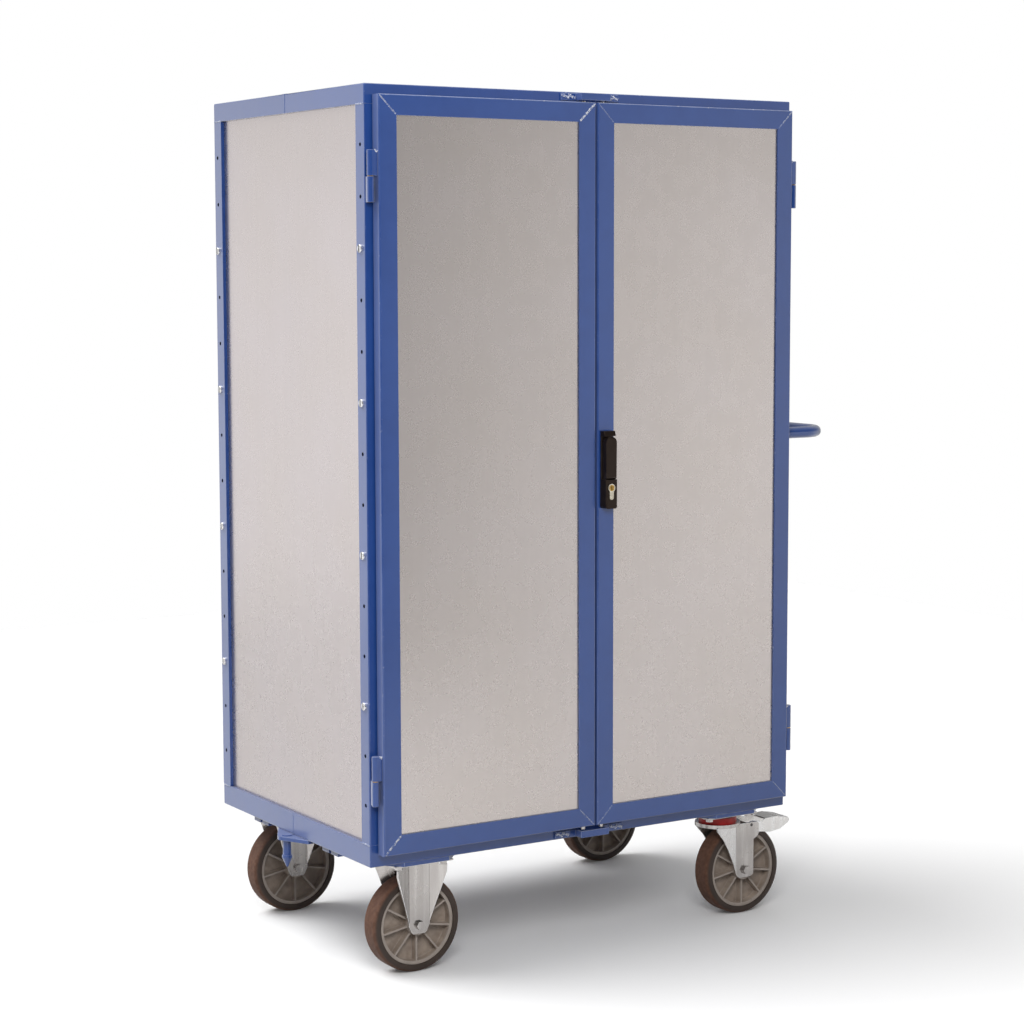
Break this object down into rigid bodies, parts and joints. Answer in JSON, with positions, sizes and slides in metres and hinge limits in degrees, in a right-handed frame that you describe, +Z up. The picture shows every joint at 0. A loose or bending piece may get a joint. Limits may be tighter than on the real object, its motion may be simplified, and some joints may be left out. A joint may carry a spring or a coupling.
{
  "type": "cupboard trolley",
  "caption": "Enclosed steel cupboard trolley with double doors, rod lock, shelves, push handle, tow coupling, two fixed and two braked swivel castors.",
  "frame": {"origin": "on the floor under the middle of the whole cart's box, with doors closed, handle and tow plate included", "axes": "+X along the front from the tow end to the handle end, +Y from the doors to the back, +Z up"},
  "size_m": [1.2115, 0.735, 1.783],
  "materials": {
    "blue_paint": "satin",
    "galvanised_sheet": "dull spangled zinc",
    "zinc_plated": "bright zinc",
    "brass": "satin",
    "nickel": "satin",
    "bearing_steel": "polished",
    "black_plastic": "fine grained",
    "hub_plastic": "moulded",
    "tyre_rubber": "matte rubber",
    "red_plastic": "gloss"
  },
  "bodies": {
    "cart": {"base_frame": "blue_paint", "top_frame": "blue_paint", "corner_uprights": "blue_paint", "underframe_bars": "blue_paint", "castor_mounting_plates": "blue_paint", "floor_panel": "galvanised_sheet", "roof_panel": "galvanised_sheet", "left_end_panel": "galvanised_sheet", "right_end_panel": "galvanised_sheet", "back_panel": "galvanised_sheet", "shelves": "galvanised_sheet", "shelf_supports": "galvanised_sheet", "shelf_screws": "zinc_plated", "rod_keepers": "blue_paint", "push_handle": "blue_paint", "tow_plate": "blue_paint", "tow_pin": "blue_paint", "hinge_sockets": "blue_paint", "hinge_pins": "zinc_plated", "hinge_washers": "brass", "castor_bolts": "zinc_plated", "fixed_castor_brackets": "zinc_plated", "fixed_castor_axles": "zinc_plated", "swivel_castor_plates": "zinc_plated", "swivel_king_bolts": "zinc_plated", "swivel_bearing_balls": "bearing_steel"},
    "left_door": {"left_door_frame": "blue_paint", "left_door_panel": "galvanised_sheet", "left_hinge_leaves": "blue_paint", "left_bolt_guides": "zinc_plated"},
    "left_upper_bolt": {"left_upper_bolt": "zinc_plated"},
    "left_lower_bolt": {"left_lower_bolt": "zinc_plated"},
    "right_door": {"right_door_frame": "blue_paint", "right_door_panel": "galvanised_sheet", "right_hinge_leaves": "blue_paint", "lock_housing": "black_plastic", "lock_case": "zinc_plated", "lock_cylinder": "nickel", "rod_guides": "zinc_plated"},
    "spindle": {"lock_spindle": "zinc_plated"},
    "lever": {"lock_lever": "black_plastic"},
    "plug": {"cylinder_plug": "brass"},
    "upper_rod": {"upper_rod": "zinc_plated"},
    "lower_rod": {"lower_rod": "zinc_plated"},
    "front_fixed_wheel": {"front_fixed_hub": "hub_plastic", "front_fixed_tyre": "tyre_rubber"},
    "rear_fixed_wheel": {"rear_fixed_hub": "hub_plastic", "rear_fixed_tyre": "tyre_rubber"},
    "front_swivel": {"front_swivel_fork": "zinc_plated", "front_swivel_ring": "red_plastic", "front_swivel_axle": "zinc_plated"},
    "front_swivel_wheel": {"front_swivel_hub": "hub_plastic", "front_swivel_tyre": "tyre_rubber"},
    "front_pedal": {"front_brake_pedal": "zinc_plated"},
    "rear_swivel": {"rear_swivel_fork": "zinc_plated", "rear_swivel_ring": "red_plastic", "rear_swivel_axle": "zinc_plated"},
    "rear_swivel_wheel": {"rear_swivel_hub": "hub_plastic", "rear_swivel_tyre": "tyre_rubber"},
    "rear_pedal": {"rear_brake_pedal": "zinc_plated"}
  },
  "joints": [
    {"name": "left_door_hinge", "type": "hinge", "parent": "cart", "child": "left_door", "pos_m": [-0.56775, -0.3315, 1.013], "axis": [0, 0, -1], "range_deg": [0, 180]},
    {"name": "right_door_hinge", "type": "hinge", "parent": "cart", "child": "right_door", "pos_m": [0.46425, -0.3315, 1.013], "axis": [0, 0, 1], "range_deg": [0, 180]},
    {"name": "lock_turn", "type": "hinge", "parent": "right_door", "child": "spindle", "pos_m": [-0.02925, -0.3445, 1.071], "axis": [0, -1, 0], "range_deg": [0, 90]},
    {"name": "lever_swing", "type": "hinge", "parent": "spindle", "child": "lever", "pos_m": [-0.02925, -0.36, 1.0775], "axis": [-1, 0, 0], "range_deg": [0, 35]},
    {"name": "key_turn", "type": "hinge", "parent": "right_door", "child": "plug", "pos_m": [-0.02925, -0.3665, 0.978], "axis": [0, -1, 0], "range_deg": [0, 90]},
    {"name": "upper_rod_slide", "type": "slide", "parent": "right_door", "child": "upper_rod", "axis": [0, 0, 1], "range_m": [0, 0.017]},
    {"name": "lower_rod_slide", "type": "slide", "parent": "right_door", "child": "lower_rod", "axis": [0, 0, -1], "range_m": [0, 0.017]},
    {"name": "left_upper_bolt_slide", "type": "slide", "parent": "left_door", "child": "left_upper_bolt", "axis": [0, 0, 1], "range_m": [0, 0.017]},
    {"name": "left_lower_bolt_slide", "type": "slide", "parent": "left_door", "child": "left_lower_bolt", "axis": [0, 0, -1], "range_m": [0, 0.017]},
    {"name": "front_fixed_wheel_spin", "type": "hinge", "parent": "cart", "child": "front_fixed_wheel", "pos_m": [-0.44075, -0.2471, 0.1], "axis": [0, 1, 0], "continuous": true},
    {"name": "rear_fixed_wheel_spin", "type": "hinge", "parent": "cart", "child": "rear_fixed_wheel", "pos_m": [-0.44075, 0.3001, 0.1], "axis": [0, 1, 0], "continuous": true},
    {"name": "front_castor_swivel", "type": "hinge", "parent": "cart", "child": "front_swivel", "pos_m": [0.33725, -0.2471, 0.234], "axis": [0, 0, 1], "continuous": true},
    {"name": "front_swivel_wheel_spin", "type": "hinge", "parent": "front_swivel", "child": "front_swivel_wheel", "pos_m": [0.39025, -0.2471, 0.1], "axis": [0, 1, 0], "continuous": true},
    {"name": "front_brake_pedal_press", "type": "hinge", "parent": "front_swivel", "child": "front_pedal", "pos_m": [0.40725, -0.2471, 0.199], "axis": [0, 1, 0], "range_deg": [0, 12]},
    {"name": "rear_castor_swivel", "type": "hinge", "parent": "cart", "child": "rear_swivel", "pos_m": [0.33725, 0.3001, 0.234], "axis": [0, 0, 1], "continuous": true},
    {"name": "rear_swivel_wheel_spin", "type": "hinge", "parent": "rear_swivel", "child": "rear_swivel_wheel", "pos_m": [0.39025, 0.3001, 0.1], "axis": [0, 1, 0], "continuous": true},
    {"name": "rear_brake_pedal_press", "type": "hinge", "parent": "rear_swivel", "child": "rear_pedal", "pos_m": [0.40725, 0.3001, 0.199], "axis": [0, 1, 0], "range_deg": [0, 12]}
  ],
  "couplings": [
    {"joint": "lock_turn", "follows": "upper_rod_slide", "rad_per_m": 92.39},
    {"joint": "lower_rod_slide", "follows": "upper_rod_slide", "ratio": 1}
  ]
}
